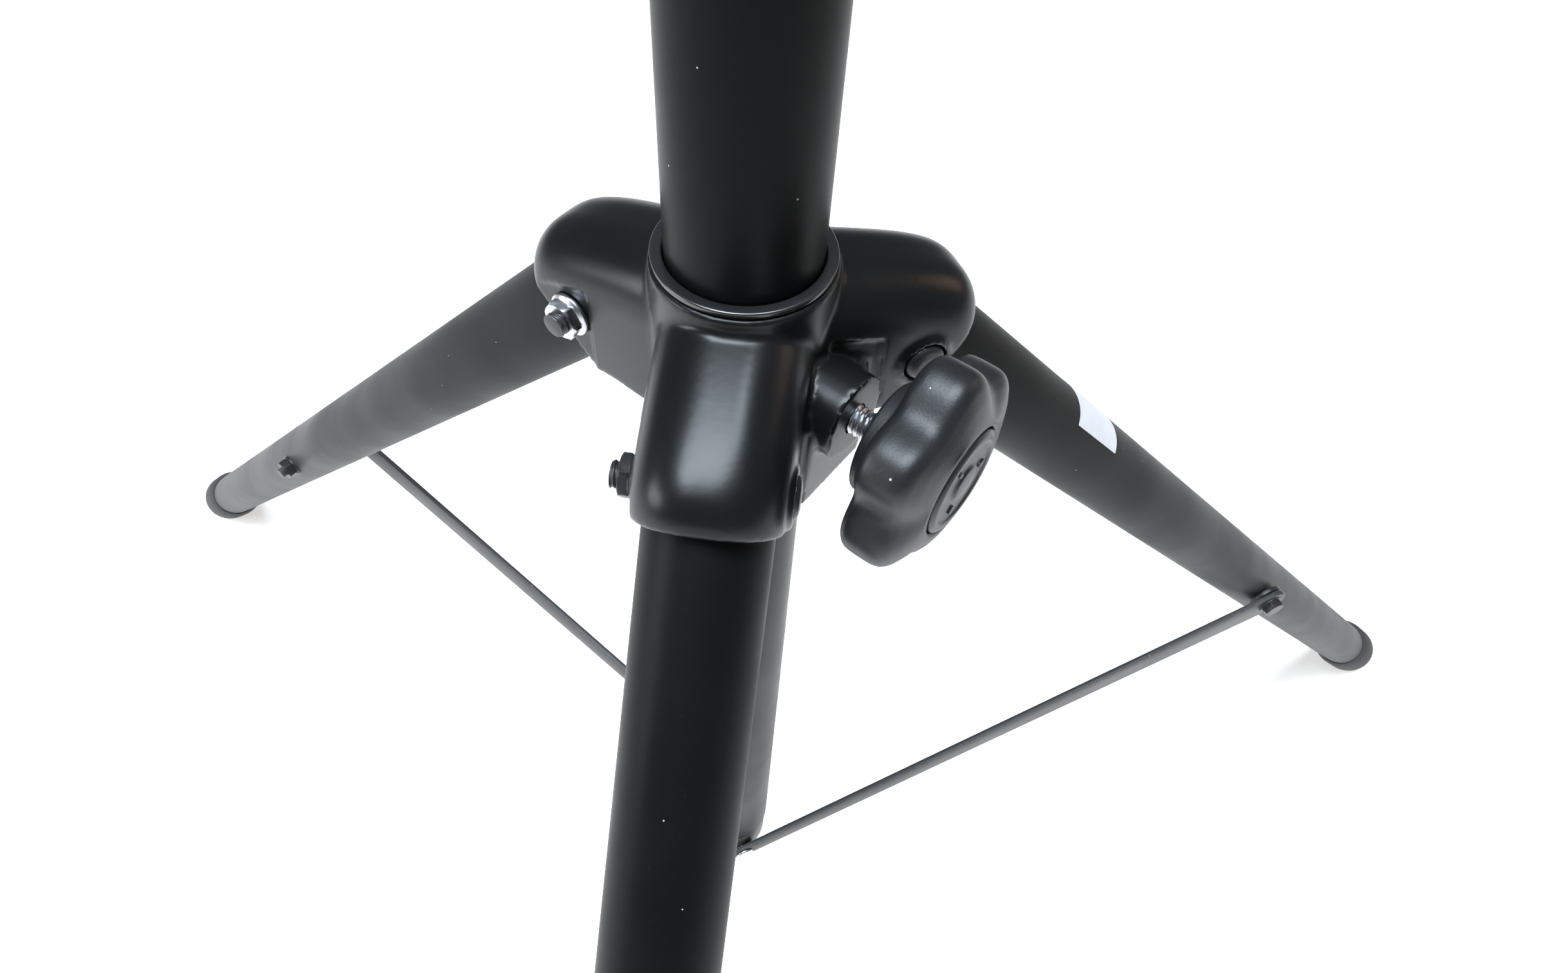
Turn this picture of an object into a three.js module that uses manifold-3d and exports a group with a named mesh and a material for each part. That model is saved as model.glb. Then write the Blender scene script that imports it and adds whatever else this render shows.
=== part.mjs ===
// Speaker tripod stand: a telescopic steel pole on three folding tube legs.
// Millimetres, +Z up. The origin is the middle of the flat underside of the pole's bottom plug.
import * as THREE from 'three';
import { mergeVertices } from 'three/addons/utils/BufferGeometryUtils.js';
import Module from 'manifold-3d';

const wasm = await Module();
wasm.setup();
const { Manifold, Mesh: SolidMesh } = wasm;

// ---------------------------------------------------------------- driving dimensions
const GAP = 0.3;                       // clearance left between touching pieces
const RING_Z = 389;                    // top of the collar's bush above the origin
const POLE = { r: 19, bore: 17.8, z0: 23, z1: 814 };
const INNER = { r: 17.45, bore: 16, z0: 199, z1: 955, pinZ: 852, pinPitch: 60, pins: 6 };
const LEG = { azimuths: [-90, 30, 150], names: ['front', 'right', 'left'] };
const LEG_TILT = 43.26;                // leg from the vertical, degrees
const LEG_R = 16;
const LEG_BORE = 14.5;
const LEG_ROOT = 11.11;                // where the leg's axis line meets the ring's level
const LEG_T = { top: 41, pivot: 48, brace: 436, end: 770 };
const FOOT = { r: 18.5, t0: 741, t1: 783, round: 8, floor: -577.5 };
const HOOD = { half: 18.5, shoulder: 14, cavityShoulder: 12 };
const BOLT_R = 3.5;
const NUT_SIDE = { front: -1, right: 1, left: 1 };   // which way each leg bolt is put in
const BRACE = { hubRho: 0, hubZ: 8.5, near: 19.4, thick: 2.6, h0: 10.5, h1: 19.5, boltR: 3 };
const KNOB = { az: -30, r: 28.6, wave: 4.6, depth: 23.6, lobes: 6, phase: 37.5, screwR: 4 };
const COLLAR_KNOB = { r0: 44, z: RING_Z - 34, padR0: 19.3 };
const UPPER_KNOB = { r0: 47, z: 798, padR0: 17.8 };
const CLUTCH = { r: 27, z0: 761, z1: 836 };
const SEG = 28;

// ---------------------------------------------------------------- helpers
const rad = THREE.MathUtils.degToRad;
const COLOURS = {
  poleBlack: [0x121213, 0.42, 0.35],
  legBlack: [0x2c2c2d, 0.5, 0.3],
  castBlack: [0x1e1f21, 0.5, 0.1],
  plasticBlack: [0x161719, 0.55, 0.0],
  rubberBlack: [0x1b1b1b, 0.85, 0.0],
  steelBlack: [0x3a3a3b, 0.5, 0.4],
  zinc: [0xb9bbbd, 0.32, 0.9],
  chrome: [0xc8cacc, 0.2, 1.0],
};

function piece(name, geometry, finish) {
  const [color, roughness, metalness] = COLOURS[finish];
  const material = new THREE.MeshStandardMaterial({ color, roughness, metalness });
  const mesh = new THREE.Mesh(geometry, material);
  mesh.name = name;
  return mesh;
}

// A plain indexed geometry with shared corners and no collapsed triangles.
function weld(geometry) {
  const bare = new THREE.BufferGeometry();
  bare.setAttribute('position', geometry.getAttribute('position').clone());
  if (geometry.index) bare.setIndex(geometry.index.clone());
  const merged = mergeVertices(bare, 1e-4);
  const kept = [];
  const index = merged.index.array;
  for (let i = 0; i < index.length; i += 3) {
    const [a, b, c] = [index[i], index[i + 1], index[i + 2]];
    if (a !== b && b !== c && a !== c) kept.push(a, b, c);
  }
  merged.setIndex(kept);
  return merged;
}

function solid(geometry) {
  const g = weld(geometry);
  const vertProperties = new Float32Array(g.getAttribute('position').array);
  const triVerts = new Uint32Array(g.index.array);
  return new Manifold(new SolidMesh({ numProp: 3, vertProperties, triVerts }));
}

function fromSolid(body) {
  const mesh = body.getMesh();
  const g = new THREE.BufferGeometry();
  const count = mesh.vertProperties.length / mesh.numProp;
  const position = new Float32Array(count * 3);
  for (let i = 0; i < count; i += 1) {
    for (let k = 0; k < 3; k += 1) {
      position[i * 3 + k] = mesh.vertProperties[i * mesh.numProp + k];
    }
  }
  g.setAttribute('position', new THREE.BufferAttribute(position, 3));
  g.setIndex(new THREE.BufferAttribute(new Uint32Array(mesh.triVerts), 1));
  const welded = weld(g);
  welded.computeVertexNormals();
  return welded;
}

const joined = (...geometries) => geometries.map(solid).reduce((a, b) => a.add(b));

// base with every cutter taken away, as a geometry
function carve(base, cutters) {
  const start = base instanceof THREE.BufferGeometry ? solid(base) : base;
  return fromSolid(cutters.map(solid).reduce((a, b) => a.subtract(b), start));
}

// Profile points [radius, height], turned about +Z.
function turned(points, segments = SEG) {
  const first = points[0];
  const last = points[points.length - 1];
  const loop = points.map(([r, h]) => new THREE.Vector2(r, h));
  const onAxis = first[0] === 0 && last[0] === 0;
  if (!onAxis) loop.push(new THREE.Vector2(first[0], first[1]));
  const g = new THREE.LatheGeometry(loop, segments);
  g.rotateX(Math.PI / 2);
  return weld(g);
}

const ring = (r0, r1, z0, z1, seg = SEG) => turned([[r0, z0], [r1, z0], [r1, z1], [r0, z1]], seg);

const disc = (r, z0, z1, seg = SEG) => turned([[0, z0], [r, z0], [r, z1], [0, z1]], seg);

// A round bar along local Y between y0 and y1, centred on (x, z).
function barY(r, y0, y1, x, z, seg = 20) {
  const g = new THREE.CylinderGeometry(r, r, y1 - y0, seg);
  g.translate(x, (y0 + y1) / 2, z);
  return weld(g);
}

// A round bar along local X between x0 and x1, at height z.
function barX(r, x0, x1, z, seg = 20) {
  const g = new THREE.CylinderGeometry(r, r, x1 - x0, seg);
  g.rotateZ(-Math.PI / 2);
  g.translate((x0 + x1) / 2, 0, z);
  return weld(g);
}

function ball(r, x, z) {
  const g = new THREE.SphereGeometry(r, 24, 16);
  g.translate(x, 0, z);
  return weld(g);
}

function box(x0, x1, y0, y1, z0, z1) {
  const g = new THREE.BoxGeometry(x1 - x0, y1 - y0, z1 - z0);
  g.translate((x0 + x1) / 2, (y0 + y1) / 2, (z0 + z1) / 2);
  return weld(g);
}

// An outline in the XZ plane, given a thickness along Y.
function slab(points, y0, y1) {
  const shape = new THREE.Shape(points.map(([x, z]) => new THREE.Vector2(x, z)));
  const g = new THREE.ExtrudeGeometry(shape, { depth: y1 - y0, bevelEnabled: false });
  g.rotateX(Math.PI / 2);
  g.translate(0, y1, 0);
  return weld(g);
}

function group(name, ...children) {
  const g = new THREE.Group();
  g.name = name;
  if (children.length) g.add(...children);
  return g;
}

// ---------------------------------------------------------------- leg frame
// Each leg is drawn in its own upright plane: X outward, Y across, Z up.
const tilt = rad(LEG_TILT);
const along = (t) => [LEG_ROOT + t * Math.sin(tilt), RING_Z - t * Math.cos(tilt)];
const [PIVOT_X, PIVOT_Z] = along(LEG_T.pivot);
const [BRACE_X, BRACE_Z] = along(LEG_T.brace);

// Geometry drawn about +Z at height t is laid down along the leg's axis.
function onLeg(g) {
  g.rotateX(Math.PI);
  g.rotateY(-tilt);
  g.translate(LEG_ROOT, 0, RING_Z);
  return g;
}

// ---------------------------------------------------------------- collar
// Arch sections from the sleeve out to the mouth: ridge point, then foot of the side wall.
const HOOD_SECTIONS = [
  [12, -4, 12, -50],
  [22, -6, 18, -50],
  [34, -9.2, 24, -50],
  [46, -13, 29, -50],
  [56, -17.6, 33, -50.5],
  [61.5, -21.5, 35.5, -50.8],
  [64.8, -26.5, 37.5, -51],
  [65.2, -29.5, 38, -51.4],
];

function arch(section, half, shoulder, drop) {
  const [x0, z0, x1, z1] = section;
  const length = Math.hypot(x1 - x0, z1 - z0);
  const [dx, dz] = [(x1 - x0) / length, (z1 - z0) / length];
  const outline = [[-half, length], [-half, drop + shoulder]];
  const steps = 4;
  for (let i = 1; i <= steps; i += 1) {
    const a = (i / steps) * Math.PI / 2;
    const y = -half + shoulder * (1 - Math.cos(a));
    outline.push([y, drop + shoulder * (1 - Math.sin(a))]);
  }
  const mirrored = outline.map(([y, d]) => [-y, d]).reverse();
  return [...outline, ...mirrored].map(([y, d]) => [x0 + dx * d, y, RING_Z + z0 + dz * d]);
}

function loft(rings) {
  const count = rings[0].length;
  const position = rings.flat(2);
  const index = [];
  for (let i = 0; i + 1 < rings.length; i += 1) {
    for (let k = 0; k < count; k += 1) {
      const a = i * count + k;
      const b = i * count + (k + 1) % count;
      index.push(a, a + count, b, b, a + count, b + count);
    }
  }
  const last = (rings.length - 1) * count;
  for (let k = 1; k + 1 < count; k += 1) {
    index.push(0, k, k + 1, last, last + k + 1, last + k);
  }
  const g = new THREE.BufferGeometry();
  g.setAttribute('position', new THREE.Float32BufferAttribute(position, 3));
  g.setIndex(index);
  return g;
}

function hood() {
  return loft(HOOD_SECTIONS.map((s) => arch(s, HOOD.half, HOOD.shoulder, 0)));
}

// Room for the tube under the roof, open below and at the mouth.
function hoodCavity() {
  const roof = [[25, -10], [34, -12.2], [44, -15.2], [52.8, -19.7], [62.4, -29.9], [72, -40.1]];
  const sections = roof.map(([x, z]) => [x, z, x, -80]);
  return loft(sections.map((s) => arch(s, LEG_R + GAP, HOOD.cavityShoulder, 0)));
}

function turnAbout(g, azimuth) {
  const copy = g.clone();
  copy.rotateZ(rad(azimuth));
  return copy;
}

// A round bar, or a slab, on one side of the leg's plane (side is +1 or -1).
function sideBar(r, side, y0, y1, seg) {
  return barY(r, Math.min(side * y0, side * y1), Math.max(side * y0, side * y1), PIVOT_X, PIVOT_Z, seg);
}

function sideSlab(points, side, y0, y1) {
  const outline = points.map(([x, z]) => [x, RING_Z + z]);
  return slab(outline, Math.min(side * y0, side * y1), Math.max(side * y0, side * y1));
}

const NUT_NOTCH = [[36.5, -23], [50, -27.5], [70, -38], [70, -60], [36.5, -60]];
const PANEL = [[15.5, -18.6], [31, -23], [32.5, -45], [14, -40.5]];
function collarBody() {
  const adds = [disc(23, RING_Z - 64, RING_Z - 2)];
  const cuts = [
    disc(19.35, RING_Z - 70, RING_Z + 5),
    disc(21.2, RING_Z - 12.3, RING_Z + 5),
    disc(21.2, RING_Z - 70, RING_Z - 53.7),
  ];
  LEG.azimuths.forEach((az, i) => {
    const nut = NUT_SIDE[LEG.names[i]];
    const at = (g) => turnAbout(g, az);
    adds.push(at(hood()), at(sideBar(7.6, -nut, 17, 19.7, 24)));
    cuts.push(at(hoodCavity()));
    cuts.push(at(ball(18.1, PIVOT_X, PIVOT_Z)));
    cuts.push(at(barY(BOLT_R + GAP, -30, 30, PIVOT_X, PIVOT_Z, 16)));
    cuts.push(at(sideBar(6.1, -nut, 17.6, 22, 20)));
    cuts.push(at(sideSlab(NUT_NOTCH, nut, 17.3, 22)));
  });
  // the shallow panel is cut before the screw's boss is added, so the boss stays whole
  const panel = turnAbout(sideSlab(PANEL, -NUT_SIDE.right, 17.6, 22), LEG.azimuths[1]);
  const hoods = carve(joined(...adds), [panel]);
  const z = COLLAR_KNOB.z;
  const boss = turnAbout(barX(12, 14, 35, z, 24), KNOB.az);
  const block = turnAbout(box(14, 30, -12, 12, z - 26, z), KNOB.az);
  cuts.push(turnAbout(barX(KNOB.screwR + GAP, 10, 40, z), KNOB.az));
  cuts.push(turnAbout(barX(5.5, 10, 26.2, z), KNOB.az));
  return carve(joined(hoods, boss, block), cuts);
}

function collarBush(name, z0, z1, lip) {
  const inside = 19.3;
  const outline = lip > 0
    ? [[inside, z0], [20.9, z0], [20.9, z1 - 1.7], [22.3, z1 - 1.7], [22.3, z1], [inside, z1]]
    : [[inside, z0], [22.3, z0], [22.3, z0 + 1.7], [20.9, z0 + 1.7], [20.9, z1], [inside, z1]];
  return piece(name, turned(outline, 32), 'plasticBlack');
}

// ---------------------------------------------------------------- fasteners along local Y
function hex(acrossFlats, y0, y1, x, z) {
  return barY(acrossFlats / Math.sqrt(3), y0, y1, x, z, 6);
}

function legBolt(side) {
  const nut = NUT_SIDE[side];
  const head = sideBar(5.6, -nut, 17.9, 20.8, 20);
  const ends = [-nut * 18.5, nut * 24.4];
  const shank = barY(BOLT_R, Math.min(...ends), Math.max(...ends), PIVOT_X, PIVOT_Z, 16);
  return piece(`leg_bolt_${side}`, fromSolid(joined(head, shank)), 'steelBlack');
}

function legNut(side) {
  const nut = NUT_SIDE[side];
  const body = sideBar(5.9, nut, 19, 22, 6);
  const flange = sideBar(6.4, nut, 17.6, 19.4, 20);
  const hole = barY(BOLT_R + 0.2, -30, 30, PIVOT_X, PIVOT_Z, 16);
  const finish = side === 'front' ? 'steelBlack' : 'zinc';
  return piece(`leg_nut_${side}`, carve(joined(body, flange), [hole]), finish);
}

// ---------------------------------------------------------------- leg pieces
function legTube(side) {
  const tube = onLeg(ring(LEG_BORE, LEG_R, LEG_T.top, LEG_T.end));
  const holes = [
    barY(BOLT_R + GAP, -20, 20, PIVOT_X, PIVOT_Z),
    barY(BRACE.boltR + GAP, -20, 20, BRACE_X, BRACE_Z),
  ];
  return piece(`leg_tube_${side}`, carve(tube, holes), 'legBlack');
}

function legPlug(side) {
  const body = onLeg(disc(LEG_BORE - GAP, LEG_T.top + 1, LEG_T.top + 34));
  const hole = barY(BOLT_R + GAP, -20, 20, PIVOT_X, PIVOT_Z);
  return piece(`leg_plug_${side}`, carve(body, [hole]), 'plasticBlack');
}

function foot(side) {
  const { r, t0, t1, round, floor } = FOOT;
  const outline = [[0, t1]];
  const steps = 5;
  for (let i = 0; i <= steps; i += 1) {
    const a = (i / steps) * Math.PI / 2;
    const bulge = 1 - i / steps;
    outline.push([r - round + round * Math.sin(a), t1 - 1.5 + 0.4 * bulge - round * (1 - Math.cos(a))]);
  }
  outline.push([r, t0 + 1.5], [r - 1, t0], [LEG_R + GAP, t0]);
  outline.push([LEG_R + GAP, LEG_T.end + GAP], [0, LEG_T.end + GAP]);
  const body = onLeg(turned(outline.reverse(), 32));
  const sole = box(450, 620, -60, 60, RING_Z + floor - 40, RING_Z + floor);
  return piece(`foot_${side}`, carve(body, [sole]), 'rubberBlack');
}

// The nut and stud that stay on the leg where its brace is held.
function legStud(side) {
  const nut = hex(10, LEG_R + GAP, LEG_R + 5.3, BRACE_X, BRACE_Z);
  const stud = barY(BRACE.boltR, -15.8, LEG_R + 8, BRACE_X, BRACE_Z);
  return piece(`leg_stud_${side}`, fromSolid(joined(nut, stud)), 'zinc');
}

// ---------------------------------------------------------------- braces
const BRACE_NEAR = -BRACE.near;
const BRACE_FAR = -BRACE.near - BRACE.thick;

function braceBar(side) {
  const [dx, dz] = [BRACE_X - BRACE.hubRho, BRACE_Z - BRACE.hubZ];
  const slope = Math.atan2(dz, dx);
  const length = Math.hypot(dx, dz);
  const points = [];
  const steps = 8;
  for (let i = 0; i <= steps; i += 1) {
    const a = Math.PI / 2 + (i / steps) * Math.PI;
    points.push([Math.cos(a) * BRACE.h0 / 2, Math.sin(a) * BRACE.h0 / 2]);
  }
  for (let i = 0; i <= steps; i += 1) {
    const a = -Math.PI / 2 + (i / steps) * Math.PI;
    points.push([length + Math.cos(a) * BRACE.h1 / 2, Math.sin(a) * BRACE.h1 / 2]);
  }
  const g = slab(points, BRACE_FAR, BRACE_NEAR);
  g.rotateY(-slope);
  g.translate(BRACE.hubRho, 0, BRACE.hubZ);
  const holes = [
    barY(BRACE.boltR + GAP, -30, -10, BRACE.hubRho, BRACE.hubZ),
    barY(BRACE.boltR + GAP, -30, -10, BRACE_X, BRACE_Z),
  ];
  return piece(`brace_${side}`, carve(g, holes), 'steelBlack');
}

function braceBolt(side) {
  const head = hex(10, BRACE_FAR - GAP - 4, BRACE_FAR - GAP, BRACE_X, BRACE_Z);
  const stub = barY(BRACE.boltR, BRACE_FAR - GAP - 1, -16.2, BRACE_X, BRACE_Z);
  return piece(`brace_bolt_${side}`, fromSolid(joined(head, stub)), 'steelBlack');
}

function braceSpacer(side) {
  const body = barY(9, BRACE_NEAR + GAP, -16.3, BRACE_X, BRACE_Z, 28);
  const hole = barY(BRACE.boltR + GAP, -25, -10, BRACE_X, BRACE_Z);
  return piece(`brace_spacer_${side}`, carve(body, [hole]), 'plasticBlack');
}

function hubPin(side) {
  const { hubRho: x, hubZ: z, boltR } = BRACE;
  const head = barY(4.6, BRACE_FAR - GAP - 1.3, BRACE_FAR - GAP, x, z, 20);
  const shank = barY(boltR, BRACE_FAR - GAP - 0.5, -9, x, z, 16);
  return piece(`hub_pin_${side}`, fromSolid(joined(head, shank)), 'zinc');
}

// ---------------------------------------------------------------- pole pieces
function basePlug() {
  const core = turned([[0, 0], [16.4, 0], [18.4, 2.4], [18.6, 22.7], [17.4, 22.7], [17.4, 52], [0, 52]]);
  const adds = [core];
  const cuts = [];
  LEG.azimuths.forEach((az) => {
    const { hubRho: x, hubZ: z, boltR } = BRACE;
    adds.push(turnAbout(barY(6.2, BRACE_NEAR + GAP, -12, x, z, 24), az));
    cuts.push(turnAbout(barY(boltR + GAP, -30, -8.6, x, z), az));
  });
  return piece('base_plug', carve(joined(...adds), cuts), 'plasticBlack');
}

function mainTube() {
  const tube = ring(POLE.bore, POLE.r, POLE.z0, POLE.z1);
  const hole = turnAbout(barX(6, 10, 30, UPPER_KNOB.z), KNOB.az);
  return piece('main_tube', carve(tube, [hole]), 'poleBlack');
}

function clutchHousing() {
  const { r, z0, z1 } = CLUTCH;
  const outline = [[0, z0], [r - 4, z0], [r - 1, z0 + 6], [r, z0 + 12], [r, z1 - 8], [r - 2.5, z1], [0, z1]];
  const z = UPPER_KNOB.z;
  const boss = turnAbout(box(15, 39, -13, 13, z - 20, z + 20), KNOB.az);
  const cuts = [
    disc(POLE.r + GAP, z0 - 5, POLE.z1 + 1),
    disc(INNER.r + 0.4, z0 - 5, z1 + 5),
    disc(21.2, POLE.z1 + 3, z1 + 5),
    turnAbout(barX(KNOB.screwR + GAP, 10, 45, z), KNOB.az),
    turnAbout(barX(5.5, 10, 26.2, z), KNOB.az),
  ];
  return piece('clutch_housing', carve(joined(turned(outline), boss), cuts), 'castBlack');
}

function innerTube() {
  const tube = ring(INNER.bore, INNER.r, INNER.z0, INNER.z1);
  const holes = [];
  for (let i = 0; i < INNER.pins; i += 1) {
    holes.push(barX(4.3, -25, 25, INNER.pinZ - i * INNER.pinPitch, 16));
  }
  return piece('inner_tube', carve(tube, holes), 'poleBlack');
}

function topCap() {
  const { r, bore, z1 } = INNER;
  const outline = [[0, z1 - 24], [bore - 0.4, z1 - 24], [bore - 0.4, z1 + GAP], [r, z1 + GAP]];
  outline.push([r, z1 + 2.6], [r - 1.4, z1 + 4], [0, z1 + 4]);
  return piece('top_cap', turned(outline), 'plasticBlack');
}

function innerGuide() {
  const { r, bore, z0 } = INNER;
  const outline = [[0, z0 - 4], [r, z0 - 4], [r, z0 - GAP], [bore - 0.4, z0 - GAP]];
  outline.push([bore - 0.4, z0 + 26], [0, z0 + 26]);
  return piece('inner_guide', turned(outline), 'plasticBlack');
}

function safetyPin() {
  const bar = barX(3.8, -24, 22, INNER.pinZ);
  const grip = barX(8, 21, 33, INNER.pinZ, 24);
  return piece('safety_pin', fromSolid(joined(bar, grip)), 'chrome');
}

// ---------------------------------------------------------------- clamping knobs
// Drawn along +X from the pole's axis, then turned to the knob's azimuth.
function knobRing(x, r, wave) {
  const steps = 6 * KNOB.lobes;
  return Array.from({ length: steps }, (_, i) => {
    const turn = (i / steps) * Math.PI * 2;
    const reach = r - wave * (0.5 - 0.5 * Math.cos(turn * KNOB.lobes));
    const a = turn + rad(KNOB.phase);
    return [x, -Math.cos(a) * reach, Math.sin(a) * reach];
  });
}

function knobBody(r0) {
  const { r, wave, depth, screwR } = KNOB;
  const stations = [
    [0, 15, 0], [5, 15.5, 0], [5.4, r - 4, wave], [7, r, wave], [17, r, wave],
    [19.3, r - 1.6, wave], [21.8, r - 6.5, wave * 0.6], [23, 16.5, 0],
  ];
  const body = loft(stations.map(([x, reach, w]) => knobRing(r0 + x, reach, w)));
  const face = barX(14.6, r0 + depth - 3, r0 + depth + 5, 0, 28);
  const socket = barX(screwR + GAP, r0 - 1, r0 + 15, 0, 16);
  return carve(body, [face, socket]);
}

function knobCap(r0) {
  const g = turned([[0, 0], [14.3, 0], [14.3, 2.4], [12.5, 3.2], [0, 3.8]], 28);
  g.rotateY(Math.PI / 2);
  g.translate(r0 + KNOB.depth - 2.7, 0, 0);
  return g;
}

function knobSet(name, spec) {
  const { r0, z, padR0 } = spec;
  const rest = group(`${name}_knob_assembly`);
  rest.position.z = z;
  rest.rotation.z = rad(KNOB.az);
  rest.add(piece(`${name}_knob`, knobBody(r0), 'plasticBlack'));
  rest.add(piece(`${name}_knob_cap`, knobCap(r0), 'plasticBlack'));
  const screw = weld(barX(KNOB.screwR, padR0 + 3.3, r0 + 14.5, 0));
  rest.add(piece(`${name}_screw`, screw, 'zinc'));
  rest.add(piece(`${name}_pad`, barX(5, padR0, padR0 + 3, 0, 24), 'plasticBlack'));
  return rest;
}

// ---------------------------------------------------------------- assembly
const tripod = group('speaker_tripod_stand');
tripod.add(mainTube(), basePlug(), clutchHousing());
tripod.add(piece('clutch_bush', ring(17.95, 20.9, POLE.z1 + 3.3, CLUTCH.z1 + 1, 32), 'plasticBlack'));
tripod.add(piece('leg_collar', collarBody(), 'castBlack'));
tripod.add(collarBush('collar_bush_top', RING_Z - 12, RING_Z, 1));
tripod.add(collarBush('collar_bush_bottom', RING_Z - 66, RING_Z - 54, -1));
tripod.add(innerTube(), topCap(), innerGuide(), safetyPin());
tripod.add(knobSet('collar', COLLAR_KNOB), knobSet('upper', UPPER_KNOB));

LEG.azimuths.forEach((azimuth, i) => {
  const side = LEG.names[i];
  const makers = [
    legTube, legPlug, foot, legStud, legBolt, legNut,
    braceBar, braceBolt, braceSpacer, hubPin,
  ];
  const leg = group(`leg_${side}`, ...makers.map((make) => make(side)));
  leg.rotation.z = rad(azimuth);
  tripod.add(leg);
});

export default tripod;
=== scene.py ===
# %% [markdown]
# # A folding speaker tripod stand
# The stand has a telescopic pole, a cast collar that slides on it, three tube legs that fold
# out of the collar and three flat stay bars that tie the legs to the pole's foot. The packed
# CAD model says where every part is and how it moves. This lesson builds the parts that the
# eye sees, with soft edges, threads and worn finishes, and hangs each one on its CAD body.

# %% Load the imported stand
import math

import bmesh
import bpy
import numpy as np
from mathutils import Matrix, Vector


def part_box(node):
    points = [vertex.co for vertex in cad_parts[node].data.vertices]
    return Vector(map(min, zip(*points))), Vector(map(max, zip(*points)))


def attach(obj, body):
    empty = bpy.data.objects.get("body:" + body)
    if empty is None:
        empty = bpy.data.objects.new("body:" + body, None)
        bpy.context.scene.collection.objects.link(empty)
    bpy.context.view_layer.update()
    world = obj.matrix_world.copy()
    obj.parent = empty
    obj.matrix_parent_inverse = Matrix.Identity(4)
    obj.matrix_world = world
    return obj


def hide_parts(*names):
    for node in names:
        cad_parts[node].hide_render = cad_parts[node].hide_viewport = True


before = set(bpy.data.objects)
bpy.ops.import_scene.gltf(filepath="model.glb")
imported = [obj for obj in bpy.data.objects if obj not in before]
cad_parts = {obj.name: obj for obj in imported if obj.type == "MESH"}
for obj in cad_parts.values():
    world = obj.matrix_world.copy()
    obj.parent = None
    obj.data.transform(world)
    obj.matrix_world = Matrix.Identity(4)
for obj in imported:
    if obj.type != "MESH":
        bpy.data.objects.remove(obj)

scene = bpy.context.scene
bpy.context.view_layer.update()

# %% [markdown]
# Every size below comes from the CAD nodes, so the two models can't drift apart. `span` says
# how far a node reaches along a direction, which also works for a tube that lies at a slant.
# Lengths are kept in millimetres until a mesh is made, because that is how a maker thinks.

# %% Measure the CAD nodes
MM = 0.001


def span(node, direction=(0, 0, 1), origin=(0, 0, 0)):
    """Lowest and highest reach of a CAD node along a direction, in mm from the origin."""
    corners = np.array([v.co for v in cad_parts[node].data.vertices]) / MM
    reach = (corners - np.array(origin)) @ np.array(Vector(direction).normalized())
    return float(reach.min()), float(reach.max())


def middle(node):
    low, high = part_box(node)
    return (low + high) / 2 / MM


RING_Z = span("collar_bush_top")[1]
POLE_R = span("main_tube", (1, 0, 0))[1]
FLOOR_Z = span("foot_front")[0]
print(f"collar top {RING_Z:.1f} mm, pole radius {POLE_R:.1f} mm, floor at {FLOOR_Z:.1f} mm")

# %% [markdown]
# Each leg is drawn in its own upright plane: X runs outward, Y across and Z up. A turn about
# the pole then puts the drawing where the leg stands. The leg's line runs from the bolt in
# the collar to the bolt that holds the stay bar, so two CAD bolts give its slope.

# %% Set up the leg frames
AZIMUTHS = {"front": -90, "right": 30, "left": 150}
NUT_SIDE = {"front": -1, "right": 1, "left": 1}


def turn(azimuth):
    return Matrix.Rotation(math.radians(azimuth), 4, "Z")


def in_front_frame(point):
    return Vector((-point.y, 0, point.z))


PIVOT = in_front_frame(middle("leg_nut_front"))
HELD = in_front_frame(middle("brace_bolt_front"))
HUB = in_front_frame(middle("hub_pin_front"))
LEG_DIR = (HELD - PIVOT).normalized()


def along(origin, direction):
    """A frame whose Z runs along the direction, with Y across the leg's plane."""
    z = Vector(direction).normalized()
    y = Vector((0, 1, 0))
    x = y.cross(z).normalized()
    rows = [[x[i], y[i], z[i], origin[i]] for i in range(3)]
    return Matrix(rows + [[0, 0, 0, 1]])


def on_leg(side):
    return turn(AZIMUTHS[side]) @ along(PIVOT, LEG_DIR)


def leg_span(node):
    """Reach of a front-leg node along the leg, in mm from the collar bolt."""
    direction = turn(-90).to_3x3() @ LEG_DIR
    return span(node, direction, turn(-90) @ PIVOT)


LEG_SLOPE = math.degrees(math.atan2(LEG_DIR.x, -LEG_DIR.z))
print(f"legs lean {LEG_SLOPE:.2f} degrees; tube from {leg_span('leg_tube_front')} mm")

# %% [markdown]
# ## The camera
# The camera hangs close above the collar and looks steeply down past the front leg, through
# a wide lens. Its three directions are written out, so that the matrix can be read.

# %% Place the camera
EYE = Vector((24.489, -186.398, RING_Z + 157.004))
EYE_RIGHT = Vector((0.99079, 0.12500, 0.05221))
EYE_UP = Vector((-0.13111, 0.78789, 0.60169))
EYE_AHEAD = Vector((-0.03408, 0.60299, -0.79702))

camera_data = bpy.data.cameras.new("stand_camera")
camera_data.sensor_width = 36
camera_data.sensor_fit = "HORIZONTAL"
camera_data.lens = 23.47
camera_data.clip_start = 0.01
camera_data.clip_end = 50
camera = bpy.data.objects.new("stand_camera", camera_data)
scene.collection.objects.link(camera)
camera.matrix_world = Matrix(
    [[EYE_RIGHT[i], EYE_UP[i], -EYE_AHEAD[i], EYE[i] * MM] for i in range(3)] + [[0, 0, 0, 1]]
)
scene.camera = camera
print("camera at", [round(c, 3) for c in camera.matrix_world.translation], "lens", camera_data.lens)

# %% [markdown]
# ## Mesh tools
# Nearly all the parts of a stand are turned, sawn from tube, bent from strip or cast. So the
# tools are a lathe, a plate cutter, a loft for cast shapes, and a few ways to join, cut and
# soften. Each returns an object whose mesh is already in its final place.

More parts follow.
